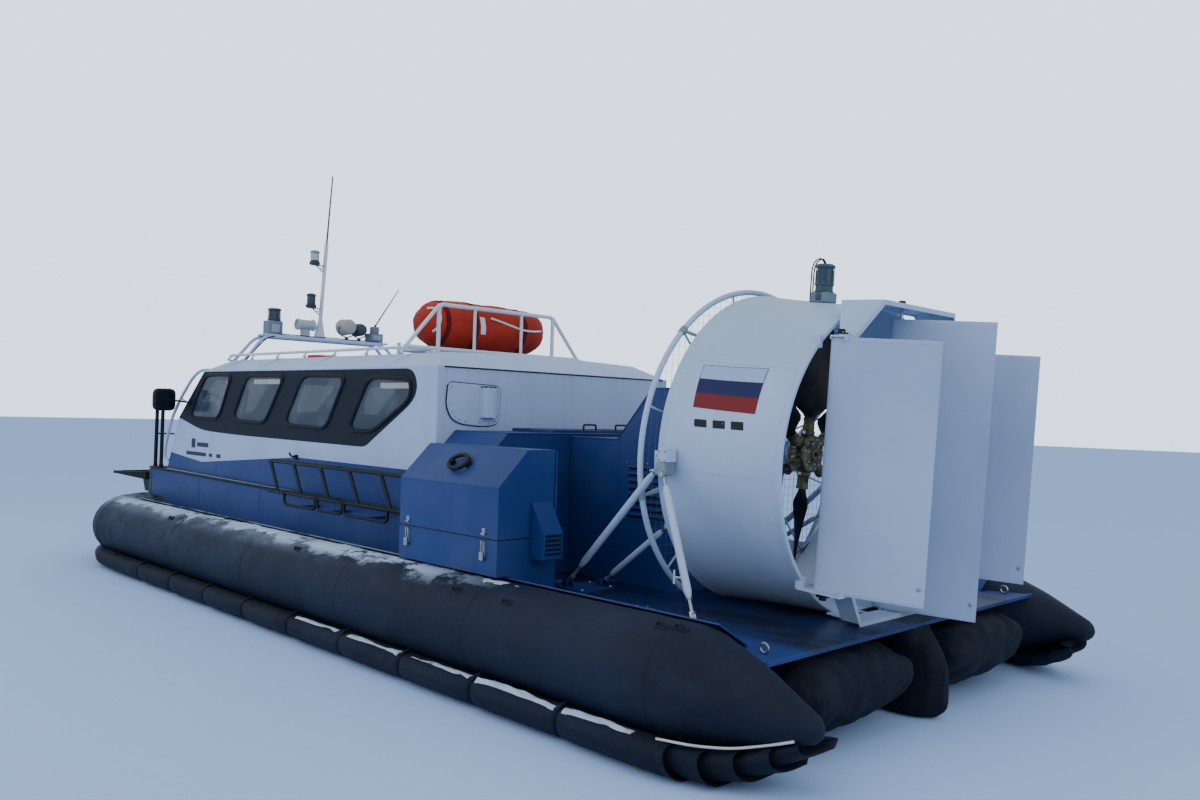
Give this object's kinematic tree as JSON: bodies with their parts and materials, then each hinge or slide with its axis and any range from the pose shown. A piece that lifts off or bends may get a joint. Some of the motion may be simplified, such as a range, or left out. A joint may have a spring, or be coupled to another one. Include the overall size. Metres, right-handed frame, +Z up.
{
  "type": "passenger hovercraft",
  "caption": "Small ducted-propeller passenger hovercraft with an inflated tube skirt, a wedge-fronted cabin, a side locker, swinging rudders and a raft on the roof.",
  "frame": {"origin": "on the ground under the middle of the bounding box", "axes": "+X towards the bow, +Y to port, +Z up"},
  "size_m": [8.6003, 3.72, 3.8806],
  "materials": {
    "hull_paint": "satin",
    "cabin_paint": "satin",
    "duct_paint": "satin",
    "tube_rubber": "matt",
    "skirt_rubber": "matt",
    "black_paint": "matt",
    "tinted_glass": "gloss",
    "propeller_composite": "satin",
    "raft_cover": "matt",
    "bearing_steel": "satin",
    "seat_fabric": "matt",
    "engine_iron": "matt",
    "console_plastic": "matt",
    "rack_paint": "satin"
  },
  "bodies": {
    "craft": {"side_tube_port": "tube_rubber", "side_tube_starboard": "tube_rubber", "bow_tube": "tube_rubber", "skirt_port": "skirt_rubber", "skirt_starboard": "skirt_rubber", "bow_skirt": "skirt_rubber", "rear_bag_port": "skirt_rubber", "rear_bag_starboard": "skirt_rubber", "keel_skirt": "skirt_rubber", "hull": "hull_paint", "hull_box": "hull_paint", "engine_hood": "hull_paint", "engine_housing": "hull_paint", "locker_port": "hull_paint", "cabin_side_port": "cabin_paint", "cabin_side_starboard": "cabin_paint", "cabin_roof": "cabin_paint", "cabin_front": "cabin_paint", "cabin_rear_wall": "cabin_paint", "side_glass_port": "tinted_glass", "side_glass_starboard": "tinted_glass", "windshield_port": "tinted_glass", "windshield_starboard": "tinted_glass", "duct": "duct_paint", "guard_ring": "duct_paint", "duct_struts_port": "duct_paint", "duct_struts_starboard": "duct_paint", "roof_rack": "rack_paint", "equipment_arch": "rack_paint", "mirror_port": "black_paint", "mirror_starboard": "black_paint", "bow_frame_port": "black_paint", "bow_frame_starboard": "black_paint", "shaft_bearing": "bearing_steel", "duct_lantern": "bearing_steel", "life_raft": "raft_cover", "seats_port": "seat_fabric", "seats_starboard": "seat_fabric", "engine_block": "engine_iron", "helm_console": "console_plastic"},
    "propeller": {"propeller": "propeller_composite"},
    "rudder_centre": {"rudder_centre": "duct_paint"},
    "rudder_port": {"rudder_port": "duct_paint"},
    "rudder_starboard": {"rudder_starboard": "duct_paint"},
    "locker_lid_port": {"locker_lid_port": "hull_paint"},
    "hood_hatch": {"hood_hatch": "hull_paint"},
    "bow_hatch": {"bow_hatch": "cabin_paint", "hatch_glass": "tinted_glass"},
    "bow_door": {"bow_door": "hull_paint"},
    "mast": {"mast": "rack_paint"},
    "boarding_ladder_port": {"boarding_ladder_port": "black_paint"},
    "boarding_ladder_starboard": {"boarding_ladder_starboard": "black_paint"}
  },
  "joints": [
    {"name": "propeller_spin", "type": "hinge", "parent": "craft", "child": "propeller", "pos_m": [-3.17, 0, 1.372], "axis": [0.9986, 0, 0.0523], "continuous": true},
    {"name": "rudder_centre_steer", "type": "hinge", "parent": "craft", "child": "rudder_centre", "pos_m": [-3.72524, 0, 1.3429], "axis": [-0.0523, 0, 0.9986], "range_deg": [-45.75, 14.25]},
    {"name": "rudder_port_steer", "type": "hinge", "parent": "craft", "child": "rudder_port", "pos_m": [-3.72524, 0.596, 1.3429], "axis": [-0.0523, 0, 0.9986], "range_deg": [-45.75, 14.25]},
    {"name": "rudder_starboard_steer", "type": "hinge", "parent": "craft", "child": "rudder_starboard", "pos_m": [-3.72524, -0.596, 1.3429], "axis": [-0.0523, 0, 0.9986], "range_deg": [-45.75, 14.25]},
    {"name": "locker_lid_port_hinge", "type": "hinge", "parent": "craft", "child": "locker_lid_port", "pos_m": [-1.705, 1.124, 1.35], "axis": [1, 0, 0], "range_deg": [0, 75]},
    {"name": "hood_hatch_hinge", "type": "hinge", "parent": "craft", "child": "hood_hatch", "pos_m": [-1.11, 0, 1.452], "axis": [0, 1, 0], "range_deg": [0, 80]},
    {"name": "bow_hatch_hinge", "type": "hinge", "parent": "craft", "child": "bow_hatch", "pos_m": [2.7312, 0, 1.8349], "axis": [0, -1, 0], "range_deg": [0, 75]},
    {"name": "bow_door_hinge", "type": "hinge", "parent": "craft", "child": "bow_door", "pos_m": [3.3732, 0.345, 1.1704], "axis": [-0.4272, 0, 0.9042], "range_deg": [0, 100]},
    {"name": "mast_fold", "type": "hinge", "parent": "craft", "child": "mast", "pos_m": [2.635, 0, 2.2463], "axis": [0, -1, 0], "range_deg": [0, 85]},
    {"name": "boarding_ladder_port_fold", "type": "hinge", "parent": "craft", "child": "boarding_ladder_port", "pos_m": [-0.125, 1.36, 0.8], "axis": [-1, 0, 0], "range_deg": [0, 90]},
    {"name": "boarding_ladder_starboard_fold", "type": "hinge", "parent": "craft", "child": "boarding_ladder_starboard", "pos_m": [-0.125, -1.36, 0.8], "axis": [1, 0, 0], "range_deg": [0, 90]}
  ],
  "couplings": [
    {"joint": "rudder_port_steer", "follows": "rudder_centre_steer", "ratio": 1},
    {"joint": "rudder_starboard_steer", "follows": "rudder_centre_steer", "ratio": 1}
  ]
}
